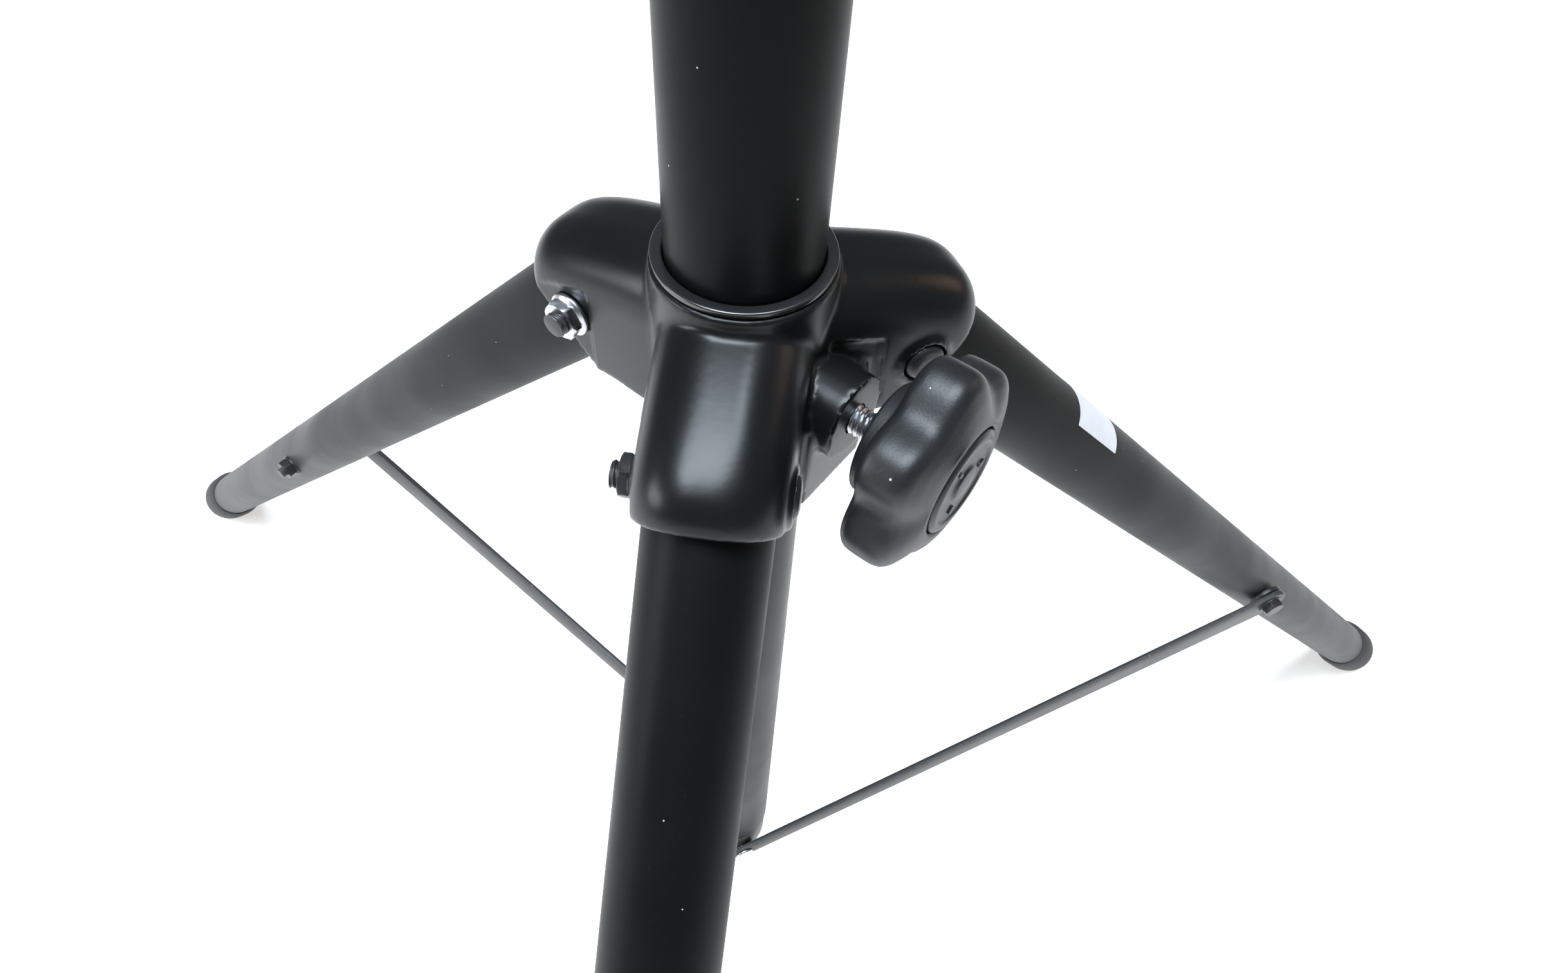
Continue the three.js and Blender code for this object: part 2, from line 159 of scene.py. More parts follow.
# %% Make an object from points
def make_object(name, points, faces, place=Matrix()):
    """A mesh object from points in mm, moved by a frame that is also in mm."""
    mesh = bpy.data.meshes.new(name)
    mesh.from_pydata([(place @ Vector(p)) * MM for p in points], [], faces)
    obj = bpy.data.objects.new(name, mesh)
    scene.collection.objects.link(obj)
    return obj


def soften(points, radius, closed=True, steps=3):
    """The same outline with each corner drawn as a short curve."""
    out = []
    count = len(points)
    for i, corner in enumerate(points):
        if not closed and i in (0, count - 1):
            out.append(tuple(corner))
            continue
        here = Vector(corner)
        back = Vector(points[i - 1]) - here
        ahead = Vector(points[(i + 1) % count]) - here
        reach = min(radius, back.length * 0.45, ahead.length * 0.45)
        start = here + back.normalized() * reach
        end = here + ahead.normalized() * reach
        for k in range(steps + 1):
            t = k / steps
            out.append(tuple(start * (1 - t) ** 2 + here * (2 * t * (1 - t)) + end * t * t))
    return out


# %% [markdown]
# A lathe turns a profile of radius and height about the Z axis. A profile that touches the
# axis at both ends gives a solid part; one that doesn't gives a tube or a ring.

# %% The lathe
def lathe(name, profile, place=Matrix(), segments=96):
    closed = profile[0][0] > 1e-6 or profile[-1][0] > 1e-6
    points, faces, rows = [], [], []
    for radius, height in profile:
        start = len(points)
        if radius < 1e-6:
            points.append((0, 0, height))
        else:
            angles = [2 * math.pi * k / segments for k in range(segments)]
            points += [(radius * math.cos(a), radius * math.sin(a), height) for a in angles]
        rows.append(range(start, len(points)))
    pairs = list(zip(rows, rows[1:])) + ([(rows[-1], rows[0])] if closed else [])
    for low, high in pairs:
        for k in range(segments):
            m = (k + 1) % segments
            quad = [low[k % len(low)], low[m % len(low)], high[m % len(high)], high[k % len(high)]]
            faces.append(tuple(dict.fromkeys(quad)))
    return make_object(name, points, faces, place)


def solid_profile(outline, radius=0.6):
    """An outline that starts and ends on the axis, with its other corners softened."""
    return soften(outline, radius, closed=False)


# %% [markdown]
# Castings and the wavy knobs are lofted: a row of rings with the same number of points, each
# joined to the next, and a face over each end.

# %% The loft and the plate cutter
def loft(name, rings, place=Matrix()):
    count = len(rings[0])
    points = [p for ring in rings for p in ring]
    faces = []
    for i in range(len(rings) - 1):
        for k in range(count):
            m = (k + 1) % count
            faces.append((i * count + k, i * count + m, (i + 1) * count + m, (i + 1) * count + k))
    faces.append(tuple(range(count)))
    faces.append(tuple(range((len(rings) - 1) * count, len(rings) * count)))
    return make_object(name, points, faces, place)


def plate(name, outline, y0, y1, place=Matrix()):
    """An outline in the XZ plane, given a thickness along Y."""
    return loft(name, [[(x, y, z) for x, z in outline] for y in (y0, y1)], place)


def keep_shape(obj, *steps):
    """Adds modifiers in order, as (kind, settings), and keeps the shape they give."""
    for kind, settings in steps:
        modifier = obj.modifiers.new(kind.lower(), kind)
        for key, value in settings.items():
            setattr(modifier, key, value)
    made = bpy.data.meshes.new_from_object(obj.evaluated_get(bpy.context.evaluated_depsgraph_get()))
    old = obj.data
    obj.modifiers.clear()
    obj.data = made
    bpy.data.meshes.remove(old)
    return obj


def square_up(obj):
    """Turns all the faces outward, which booleans and the voxel remesh rely on."""
    work = bmesh.new()
    work.from_mesh(obj.data)
    bmesh.ops.recalc_face_normals(work, faces=work.faces)
    work.to_mesh(obj.data)
    work.free()
    return obj


def bevelled(obj, width, segments=2, angle=35):
    settings = {"width": width * MM, "segments": segments, "limit_method": "ANGLE"}
    settings["angle_limit"] = math.radians(angle)
    return keep_shape(square_up(obj), ("BEVEL", settings))


# %% [markdown]
# Joining puts several closed shells into one mesh. A voxel remesh melts them into one skin,
# and a few rounds of smoothing turn the inner corners into the fillets of a casting. Cutting
# uses an exact boolean, which leaves the crisp edge of a machined bore.

# %% Join, melt and cut
def join(name, *objects):
    work = bmesh.new()
    for obj in objects:
        square_up(obj)
        work.from_mesh(obj.data)
    mesh = bpy.data.meshes.new(name)
    work.to_mesh(mesh)
    work.free()
    for obj in objects:
        discard(obj)
    joined = bpy.data.objects.new(name, mesh)
    scene.collection.objects.link(joined)
    return joined


def discard(obj):
    mesh = obj.data
    bpy.data.objects.remove(obj)
    bpy.data.meshes.remove(mesh)


def melt(obj, voxel, rounds):
    """One skin over all the shells, with corners rounded by so many rounds of smoothing."""
    remesh = ("REMESH", {"mode": "VOXEL", "voxel_size": voxel * MM})
    smooth = ("SMOOTH", {"factor": 0.5, "iterations": rounds})
    return keep_shape(obj, remesh, smooth)


def cut(obj, *cutters):
    """Takes cutters away that don't touch each other, all in one exact boolean."""
    tool = join(obj.name + "_cutter", *cutters)
    keep_shape(obj, ("BOOLEAN", {"operation": "DIFFERENCE", "solver": "EXACT", "object": tool}))
    discard(tool)
    return obj


# %% [markdown]
# Hexagon heads, nuts and threads are on every bolt. A thread is a rod whose radius rises and
# falls with height and angle together, which makes a true helix.

# %% Hexagons and threads
def bar_frame(x, z, side=1):
    """Z along the leg frame's Y axis, through (x, z); side -1 points it the other way."""
    return Matrix.Translation((x, 0, z)) @ Matrix.Rotation(-side * math.pi / 2, 4, "X")


def hexagon(name, across_flats, z0, z1, place=Matrix()):
    """A hexagon whose corners are turned off by a cone at both ends, as on a real nut."""
    corner = across_flats / math.sqrt(3)
    steps = 8
    heights = [z0, z0 + 0.45, z1 - 0.45, z1]
    rings = []
    for level, height in enumerate(heights):
        ring = []
        for k in range(6 * steps):
            a = 2 * math.pi * k / (6 * steps)
            wedge = (a + math.pi / 6) % (math.pi / 3) - math.pi / 6
            flat = across_flats / 2 / math.cos(math.pi / 6 - abs(wedge))
            limit = across_flats / 2 * 1.01 if level in (0, 3) else corner
            radius = min(flat, limit)
            ring.append((radius * math.cos(a), radius * math.sin(a), height))
        rings.append(ring)
    return loft(name, rings, place)


def thread(name, radius, z0, z1, place=Matrix(), pitch=1.25, depth=0.45, segments=32):
    count = max(2, int((z1 - z0) / pitch * 8))
    rings = []
    for i in range(count + 1):
        height = z0 + (z1 - z0) * i / count
        ring = []
        for k in range(segments):
            phase = height / pitch - k / segments
            wave = abs((phase % 1) * 2 - 1)
            end = 0.8 if i in (0, count) else 1
            a = 2 * math.pi * k / segments
            reach = (radius - depth * wave) * end
            ring.append((reach * math.cos(a), reach * math.sin(a), height))
        rings.append(ring)
    return loft(name, rings, place)


print("mesh tools ready")

# %% [markdown]
# ## Finishes
# A node helper keeps the material cells short: it makes a node, sets its properties, and
# either links or sets each named input.

# %% The node helper
def add(tree, kind, inputs=None, **settings):
    made = tree.nodes.new(kind)
    for key, value in settings.items():
        setattr(made, key, value)
    for key, value in (inputs or {}).items():
        if isinstance(value, bpy.types.NodeSocket):
            tree.links.new(value, made.inputs[key])
        else:
            made.inputs[key].default_value = value
    return made


def maths(tree, operation, a, b=0.0, clamp=False):
    return add(tree, "ShaderNodeMath", {0: a, 1: b}, operation=operation, use_clamp=clamp).outputs[0]


def new_group(name, inputs, outputs):
    """An empty shader group with named float inputs and outputs."""
    tree = bpy.data.node_groups.new(name, "ShaderNodeTree")
    for label, default in inputs.items():
        socket = tree.interface.new_socket(label, in_out="INPUT", socket_type="NodeSocketFloat")
        socket.default_value = default
    for label in outputs:
        tree.interface.new_socket(label, in_out="OUTPUT", socket_type="NodeSocketFloat")
    return tree, add(tree, "NodeGroupInput").outputs, add(tree, "NodeGroupOutput").inputs


# %% [markdown]
# Powder coat is sprayed on as dust and baked, so it flows into a very fine orange peel. The
# group gives a height for the bump and a slow drift that makes gloss uneven across a part.

# %% Orange peel group
peel, given, result = new_group("orange_peel", {"Grain Scale": 900, "Drift Scale": 22}, ["Height", "Drift"])
place = add(peel, "ShaderNodeTexCoord").outputs["Object"]
fine = add(peel, "ShaderNodeTexNoise", {"Vector": place, "Scale": given[0], "Detail": 3.0})
slow = add(peel, "ShaderNodeTexNoise", {"Vector": place, "Scale": given[1], "Detail": 4.0})
peel.links.new(fine.outputs[0], result["Height"])
peel.links.new(slow.outputs[0], result["Drift"])
print("group", peel.name)

# %% [markdown]
# Corners rub through first. Rounding the normals by a small radius and comparing them with
# the real ones finds the edges at any mesh density, and noise breaks the line up.

# %% Rubbed edges group
rubbed, given, result = new_group("rubbed_edges", {"Radius": 0.0008, "Strength": 4.0}, ["Mask"])
place = add(rubbed, "ShaderNodeTexCoord").outputs["Object"]
rounded = add(rubbed, "ShaderNodeBevel", {"Radius": given[0]}, samples=4).outputs[0]
true_normal = add(rubbed, "ShaderNodeNewGeometry").outputs["Normal"]
match = add(rubbed, "ShaderNodeVectorMath", {0: rounded, 1: true_normal}, operation="DOT_PRODUCT")
edge = maths(rubbed, "SUBTRACT", 1.0, match.outputs["Value"])
edge = maths(rubbed, "MULTIPLY", edge, given[1], clamp=True)
broken = add(rubbed, "ShaderNodeTexNoise", {"Vector": place, "Scale": 260.0, "Detail": 4.0})
broken = maths(rubbed, "MULTIPLY", maths(rubbed, "SUBTRACT", broken.outputs[0], 0.42), 5.0, clamp=True)
rubbed.links.new(maths(rubbed, "MULTIPLY", edge, broken, clamp=True), result["Mask"])
print("group", rubbed.name)

# %% [markdown]
# Dust shows on black as a few bright flecks and, on what faces up, as a thin film. Flecks are
# the middles of scattered cells, kept only where a second value is high, so they stay rare.

# %% Dust group
dust, given, result = new_group("dust", {"Fleck Scale": 150, "Fleck Size": 0.05}, ["Flecks", "Film"])
place = add(dust, "ShaderNodeTexCoord").outputs["Object"]
cells = add(dust, "ShaderNodeTexVoronoi", {"Vector": place, "Scale": given[0]})
near = maths(dust, "LESS_THAN", cells.outputs["Distance"], given[1])
pick = add(dust, "ShaderNodeSeparateColor", {0: cells.outputs["Color"]}).outputs[0]
rare = maths(dust, "GREATER_THAN", pick, 0.8)
dust.links.new(maths(dust, "MULTIPLY", near, rare), result["Flecks"])
facing = add(dust, "ShaderNodeNewGeometry").outputs["Normal"]
up = add(dust, "ShaderNodeSeparateXYZ", {0: facing}).outputs[2]
cloud = add(dust, "ShaderNodeTexNoise", {"Vector": place, "Scale": 45.0, "Detail": 5.0}).outputs[0]
film = maths(dust, "MULTIPLY", maths(dust, "MAXIMUM", up, 0.0), cloud, clamp=True)
dust.links.new(film, result["Film"])
print("group", dust.name)

# %% [markdown]
# Where tubes slide or hands grip, the finish gets hairline scratches along the pull. Noise
# that is squeezed across and stretched along one axis draws them.

# %% Hairline group
hairline, given, result = new_group("hairlines", {"Across": 1400, "Along": 18}, ["Mask"])
place = add(hairline, "ShaderNodeTexCoord").outputs["Object"]
squeeze = add(hairline, "ShaderNodeCombineXYZ", {0: given[0], 1: given[0], 2: given[1]}).outputs[0]
drawn = add(hairline, "ShaderNodeVectorMath", {0: place, 1: squeeze}, operation="MULTIPLY").outputs[0]
lines = add(hairline, "ShaderNodeTexNoise", {"Vector": drawn, "Scale": 1.0, "Detail": 2.0}).outputs[0]
lines = maths(hairline, "MULTIPLY", maths(hairline, "SUBTRACT", lines, 0.66), 8.0, clamp=True)
hairline.links.new(lines, result["Mask"])
print("group", hairline.name)

# %% [markdown]
# This mask paints a reflection of the pale floor on the lower ends of the legs, lightening them toward the
# foot. It is strong at the floor and fades out upward, with a ragged edge.

# %% Painted floor reflection group
scuff, given, result = new_group("painted_floor_reflection", {"Bottom": -0.19, "Top": 0.2}, ["Mask"])
place = add(scuff, "ShaderNodeTexCoord").outputs["Object"]
height = add(scuff, "ShaderNodeSeparateXYZ", {0: place}).outputs[2]
ragged = add(scuff, "ShaderNodeTexNoise", {"Vector": place, "Scale": 30.0, "Detail": 6.0}).outputs[0]
ragged = maths(scuff, "MULTIPLY", maths(scuff, "SUBTRACT", ragged, 0.5), 0.08)
height = maths(scuff, "ADD", height, ragged)
rise = maths(scuff, "DIVIDE", maths(scuff, "SUBTRACT", given[1], height),
    maths(scuff, "SUBTRACT", given[1], given[0]))
scuff.links.new(maths(scuff, "MULTIPLY", rise, 1.0, clamp=True), result["Mask"])
print("group", scuff.name)

# %% [markdown]
# One recipe serves all the finishes: a base colour and a worn colour mixed by the edges, dust laid over, a
# painted reflection of the pale floor toward the foot where asked, gloss that drifts, and a bump from the
# grain. Each call gives its own values, and constant values go straight on the shader's sockets.

# %% The finish recipe
def mix_colour(tree, mask, a, b):
    inputs = {0: mask, 6: a, 7: b}
    return add(tree, "ShaderNodeMix", inputs, data_type="RGBA").outputs[2]


def group(tree, source, **values):
    made = add(tree, "ShaderNodeGroup", node_tree=source)
    for key, value in values.items():
        made.inputs[key.replace("_", " ")].default_value = value
    return made.outputs


def finish(name, colour, worn, gloss, **more):
    """A material for one finish. gloss is (lowest, highest) roughness."""
    options = {
        "metal": 0.0, "grain": 900, "bump": 0.05, "bump_depth": 0.00006, "wear": 3.0,
        "wear_radius": 0.0007, "fleck": 0.045, "film": 0.25, "hair": 0.0, "scuffed": None,
        "drift": 22, "coat": 0.0, "specular": 0.5,
    }
    options.update(more)
    material = bpy.data.materials.new(name)
    material.use_nodes = True
    tree = material.node_tree
    shader = tree.nodes["Principled BSDF"]
    grain = group(tree, peel, Grain_Scale=options["grain"], Drift_Scale=options["drift"])
    edges = group(tree, rubbed, Radius=options["wear_radius"], Strength=options["wear"])
    specks = group(tree, dust, Fleck_Size=options["fleck"])
    lines = group(tree, hairline)

    shade = mix_colour(tree, grain["Drift"], [c * 0.78 for c in colour] + [1],
        [c * 1.25 for c in colour] + [1])
    shade = mix_colour(tree, edges["Mask"], shade, list(worn) + [1])
    film = maths(tree, "MULTIPLY", specks["Film"], options["film"] * 0.12, clamp=True)
    shade = mix_colour(tree, film, shade, [0.32, 0.31, 0.29, 1])
    rough = add(tree, "ShaderNodeMapRange", {0: grain["Drift"], 1: 0.3, 2: 0.7, 3: gloss[0], 4: gloss[1]})
    rough = maths(tree, "ADD", rough.outputs[0], maths(tree, "MULTIPLY", film, 1.2), clamp=True)
    if options["hair"]:
        amount = maths(tree, "MULTIPLY", lines["Mask"], options["hair"], clamp=True)
        shade = mix_colour(tree, amount, shade, list(worn) + [1])
        rough = maths(tree, "ADD", rough, maths(tree, "MULTIPLY", amount, 0.2), clamp=True)
    # Painted reflection of the pale floor: a lighter tone laid on toward the foot, fading out upward.
    if options["scuffed"]:
        tone, amount = options["scuffed"]
        low = group(tree, scuff)
        low = maths(tree, "MULTIPLY", low["Mask"], amount, clamp=True)
        shade = mix_colour(tree, low, shade, [tone, tone, tone, 1])
        rough = maths(tree, "ADD", rough, maths(tree, "MULTIPLY", low, 0.18), clamp=True)
    shade = mix_colour(tree, specks["Flecks"], shade, [0.5, 0.5, 0.48, 1])

    bump = add(tree, "ShaderNodeBump",
        {"Strength": options["bump"], "Distance": options["bump_depth"], "Height": grain["Height"]})
    tree.links.new(shade, shader.inputs["Base Color"])
    tree.links.new(rough, shader.inputs["Roughness"])
    tree.links.new(bump.outputs[0], shader.inputs["Normal"])
    shader.inputs["Metallic"].default_value = options["metal"]
    shader.inputs["Specular IOR Level"].default_value = options["specular"]
    shader.inputs["Coat Weight"].default_value = options["coat"]
    return material


# %% [markdown]
# The pole is glossy black powder coat, and the legs are the same coat with a painted reflection of the pale
# floor that lightens them toward the foot. The collar is a die casting under satin paint. Knobs and bushes
# are moulded, with a fine spark texture.

# %% The painted and moulded finishes
BARE_STEEL = (0.16, 0.16, 0.16)
FINISHES = {
    "pole_black": finish("pole_black", (0.0035, 0.0035, 0.0038), (0.03, 0.03, 0.03), (0.30, 0.42),
        bump=0.12, hair=0.03, film=0.02, specular=0.07, fleck=0.03),
    # The legs carry a painted reflection of the pale floor that lightens them toward the foot.
    "leg_black": finish("leg_black", (0.004, 0.004, 0.0042), BARE_STEEL, (0.36, 0.48), bump=0.15,
        hair=0.03, film=0.03, specular=0.1, fleck=0.03, scuffed=(0.15, 0.75)),
    "cast_black": finish("cast_black", (0.005, 0.0053, 0.0058), (0.10, 0.105, 0.11), (0.27, 0.36),
        grain=420, bump=0.22, bump_depth=0.0001, wear=2.2, film=0.03, specular=0.3),
    "plastic_black": finish("plastic_black", (0.010, 0.0105, 0.0115), (0.05, 0.05, 0.055),
        (0.36, 0.46), grain=1500, bump=0.5, bump_depth=0.00006, wear=1.6),
    # The rubber feet carry the same painted reflection of the pale floor.
    "rubber_black": finish("rubber_black", (0.012, 0.012, 0.012), (0.07, 0.07, 0.07), (0.6, 0.75),
        grain=700, bump=0.5, bump_depth=0.0001, wear=1.5, scuffed=(0.09, 0.5)),
    "steel_black": finish("steel_black", (0.03, 0.03, 0.031), BARE_STEEL, (0.38, 0.5), bump=0.2,
        wear=4.0, hair=0.15, specular=0.35),
}
print("finishes:", sorted(FINISHES))

# %% [markdown]
# Zinc plate is a bright, slightly bluish metal with cloudy gloss. Chrome is brighter and
# smoother. Both are full metals, so their colour is what they reflect. The blackened threads,
# the polished ring of the collar and the moulded knobs use the same recipe.

# %% The plated finishes
FINISHES["zinc"] = finish("zinc", (0.52, 0.53, 0.55), (0.7, 0.7, 0.7), (0.2, 0.38), metal=1.0,
    grain=600, bump=0.25, drift=160, hair=0.2)
FINISHES["chrome"] = finish("chrome", (0.6, 0.61, 0.62), (0.75, 0.75, 0.75), (0.07, 0.16), metal=1.0,
    grain=500, bump=0.05, drift=90, hair=0.25)
FINISHES["thread_black"] = finish("thread_black", (0.035, 0.035, 0.036), (0.3, 0.3, 0.3),
    (0.3, 0.45), metal=0.6, wear=5.0, wear_radius=0.0004)
FINISHES["knob_black"] = finish("knob_black", (0.009, 0.0096, 0.011), (0.06, 0.06, 0.065),
    (0.40, 0.5), grain=1500, bump=0.6, bump_depth=0.00007, wear=1.4, film=0.04, specular=0.5)
FINISHES["ring_black"] = finish("ring_black", (0.01, 0.0105, 0.0115), (0.08, 0.08, 0.085),
    (0.16, 0.24), grain=1500, bump=0.15, wear=1.6, specular=0.9)

# %% [markdown]
# `dress` finishes a piece: it puts the material on, shades it smooth but for real creases, hangs it on its
# body and hides the CAD nodes it stands for.

# %% Dress a piece
def dress(obj, body, finish_name, *nodes, crease=38):
    obj.data.materials.clear()
    obj.data.materials.append(FINISHES[finish_name])
    work = bmesh.new()
    work.from_mesh(obj.data)
    bmesh.ops.recalc_face_normals(work, faces=work.faces)
    for face in work.faces:
        face.smooth = True
        face.material_index = 0
    for edge in work.edges:
        edge.smooth = len(edge.link_faces) == 2 and edge.calc_face_angle(0) < math.radians(crease)
    work.to_mesh(obj.data)
    work.free()
    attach(obj, body)
    if nodes:
        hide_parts(*nodes)
    print(f"{obj.name}: {len(obj.data.polygons)} faces on {body}")
    return obj


# %% [markdown]
# ## The pole
# The outer pole is a steel tube, sawn square and deburred. A ring profile with soft corners,
# turned on the lathe, gives both walls at once.

# %% Outer pole
def tube_profile(bore, radius, z0, z1, ease=0.5):
    return soften([(bore, z0), (radius, z0), (radius, z1), (bore, z1)], ease)


POLE_Z = span("main_tube")
POLE_BORE = POLE_R - 1.2
outer_pole = lathe("outer_pole", tube_profile(POLE_BORE, POLE_R, *POLE_Z), segments=128)
dress(outer_pole, "mast", "pole_black", "main_tube")

# %% [markdown]
# The inner pole slides in the outer one and carries the speaker. It has a row of cross holes
# for the safety pin, so it is cut by a row of bars after turning.

# %% Inner pole
INNER_R = span("inner_tube", (0, 1, 0))[1]
INNER_Z = span("inner_tube")
PIN_Z = middle("safety_pin").z
PIN_PITCH = 60
PIN_HOLES = 6
X_AXIS = Matrix.Rotation(math.pi / 2, 4, "Y")

inner_pole = lathe("inner_pole", tube_profile(INNER_R - 1.45, INNER_R, *INNER_Z), segments=96)
drills = []
for step in range(PIN_HOLES):
    at = Matrix.Translation((0, 0, PIN_Z - step * PIN_PITCH)) @ X_AXIS
    drills.append(lathe("drill", [(0, -30), (4.3, -30), (4.3, 30), (0, 30)], at, segments=40))
cut(inner_pole, *drills)
dress(inner_pole, "mast_inner", "pole_black", "inner_tube")

# %% [markdown]
# The pole's lower end is closed by a moulded plug. Three short bosses on its sides hold the rivets of the
# stay bars. Turned plug and bosses are melted into one skin.

# %% Pole end plug
PLUG_Z1 = span("base_plug")[1]
BAR_NEAR, BAR_FAR = 19.4, 22.0
plug = lathe("plug", solid_profile([(0, 0), (16.4, 0), (18.4, 2.4), (18.6, 22.7), (17.4, 22.7),
    (17.4, PLUG_Z1), (0, PLUG_Z1)]))
bosses = []
for azimuth in AZIMUTHS.values():
    at = turn(azimuth) @ bar_frame(HUB.x, HUB.z, -1)
    bosses.append(lathe("boss", [(0, 10), (6.2, 10), (6.2, BAR_NEAR - 0.4), (0, BAR_NEAR - 0.4)], at,
        segments=48))
end_plug = melt(join("pole_end_plug", plug, *bosses), 0.6, 4)
dress(end_plug, "mast", "plastic_black", "base_plug")

# %% [markdown]
# Each stay bar turns on a rivet with a low domed head.

# %% Hub rivets
for side, azimuth in AZIMUTHS.items():
    head = solid_profile([(0, 9), (3, 9), (3, 22.3), (4.6, 22.3), (4.4, 23.1), (3.2, 23.6),
        (0, 23.75)], 0.3)
    rivet = lathe(f"hub_rivet_{side}", head, turn(azimuth) @ bar_frame(HUB.x, HUB.z, -1), segments=48)
    dress(rivet, "mast", "zinc", f"hub_pin_{side}")

# %% [markdown]
# ## The cast collar
# The collar is the stand's main casting: a sleeve that slides on the pole, with a hood over
# the top of each leg. Each hood is an arch that sweeps out and then curls down at its mouth.
# The arch sections below run from the sleeve outward: ridge point, then foot of the wall.

# %% Hood sections
HOOD_SECTIONS = [
    (12, -4, 12, -50), (23, -6.2, 18, -50), (34, -9.2, 24, -50), (46, -13, 29, -50),
    (53.5, -16, 32, -50.4), (58, -18.4, 34, -50.7), (61, -20.9, 35.3, -50.9), (63.2, -24, 36.6, -51.1),
    (64.4, -27.5, 37.6, -51.3),
]
HOOD_HALF = {"sleeve": 19.0, "mouth": 18.3}
HOOD_ROUND = 15.5
LEG_R = 16.0


def arch(section, half, shoulder, steps=10):
    """One ring of a hood, from the foot of one wall over the ridge to the other foot."""
    x0, z0, x1, z1 = section
    length = math.hypot(x1 - x0, z1 - z0)
    dx, dz = (x1 - x0) / length, (z1 - z0) / length
    outline = [(-half, length), (-half, length * 0.6)]
    for i in range(steps + 1):
        a = i / steps * math.pi / 2
        outline.append((-half + shoulder * (1 - math.cos(a)), shoulder * (1 - math.sin(a))))
    outline += [(-y, d) for y, d in reversed(outline)]
    return [(x0 + dx * d, y, RING_Z + z0 + dz * d) for y, d in outline]


def smooth_sections(sections, between=4):
    """A smooth curve through the sections, so that the hood's sweep has no kinks."""
    rows = np.array(sections, float)
    padded = np.vstack([2 * rows[0] - rows[1], rows, 2 * rows[-1] - rows[-2]])
    out = []
    for i in range(1, len(padded) - 2):
        p0, p1, p2, p3 = padded[i - 1 : i + 3]
        for k in range(between):
            t = k / between
            out.append(
                0.5
                * (
                    2 * p1
                    + (p2 - p0) * t
                    + (2 * p0 - 5 * p1 + 4 * p2 - p3) * t**2
                    + (3 * p1 - p0 - 3 * p2 + p3) * t**3
                )
            )
    return [tuple(row) for row in out] + [tuple(rows[-1])]


def hood_half(x):
    """Half the hood's width, which narrows a little from the sleeve to the mouth."""
    share = min(max((x - 22) / 40, 0), 1)
    return HOOD_HALF["sleeve"] + (HOOD_HALF["mouth"] - HOOD_HALF["sleeve"]) * share


print("hood rings:", len(smooth_sections(HOOD_SECTIONS)))

# %% [markdown]
# The outer skin is joined from the sleeve, three hoods and the bolt seats, then melted. The
# bolt seats, the nut notches and the one shallow panel are cut next. The boss of the clamping
# screw joins last and all is melted again, so no cutter reaches the boss and every cast edge
# is soft.

# %% Outer skin of the collar
KNOB_AZ = -30
COLLAR_VOXEL = 0.8
COLLAR_KNOB_Z = middle("collar_knob").z
SEAT = {"outer": 7.6, "inner": 6.1}
NUT_NOTCH = [(36.5, -23), (50, -27.5), (70, -38), (70, -60), (36.5, -60)]
PANEL = [(15.5, -18.6), (31, -23), (32.5, -45), (14, -40.5)]


def knob_frame(z):
    return turn(KNOB_AZ) @ Matrix.Translation((0, 0, z)) @ X_AXIS


def side_plate(name, outline, side, y0, y1, place):
    return plate(name, [(x, RING_Z + z) for x, z in outline], side * y0, side * y1, place)


shells = [lathe("sleeve", [(0, RING_Z - 64), (23, RING_Z - 64), (23, RING_Z - 2), (0, RING_Z - 2)])]
recesses = []
for side, azimuth in AZIMUTHS.items():
    at, nut = turn(azimuth), NUT_SIDE[side]
    shells.append(loft("hood",
        [arch(s, hood_half(s[0]), HOOD_ROUND) for s in smooth_sections(HOOD_SECTIONS)], at))
    seat = bar_frame(PIVOT.x, PIVOT.z, -nut)
    shells.append(lathe("seat", [(0, 15), (SEAT["outer"], 15), (SEAT["outer"], 19.9), (0, 19.9)],
        at @ seat, 48))
    recesses.append(lathe("dimple", [(0, 17.6), (SEAT["inner"], 17.6), (SEAT["inner"], 23), (0, 23)],
        at @ seat, 48))
    recesses.append(side_plate("notch", NUT_NOTCH, nut, 17.3, 23, at))
    if side == "right":
        recesses.append(side_plate("panel", PANEL, -nut, 17.6, 23, at))
collar = melt(join("hoods", *shells), COLLAR_VOXEL, 4)
cut(collar, *recesses)
screw_boss = [(0, 12), (11.5, 12), (11.5, 36), (0, 36)]
boss = lathe("boss", screw_boss, knob_frame(COLLAR_KNOB_Z), 64)
block = [(14, COLLAR_KNOB_Z - 28), (31, COLLAR_KNOB_Z - 28), (32, COLLAR_KNOB_Z),
    (28, COLLAR_KNOB_Z + 7), (14, COLLAR_KNOB_Z + 9)]
collar = melt(join("leg_collar_casting", collar, boss,
    plate("block", block, -12.5, 14, turn(KNOB_AZ))), COLLAR_VOXEL, 3)
print("collar skin faces:", len(collar.data.polygons))

# %% [markdown]
# Last come the machined surfaces, which stay crisp: the bore with its two bush seats, the
# room for each leg under its hood, and the holes for the bolts and the clamping screw.

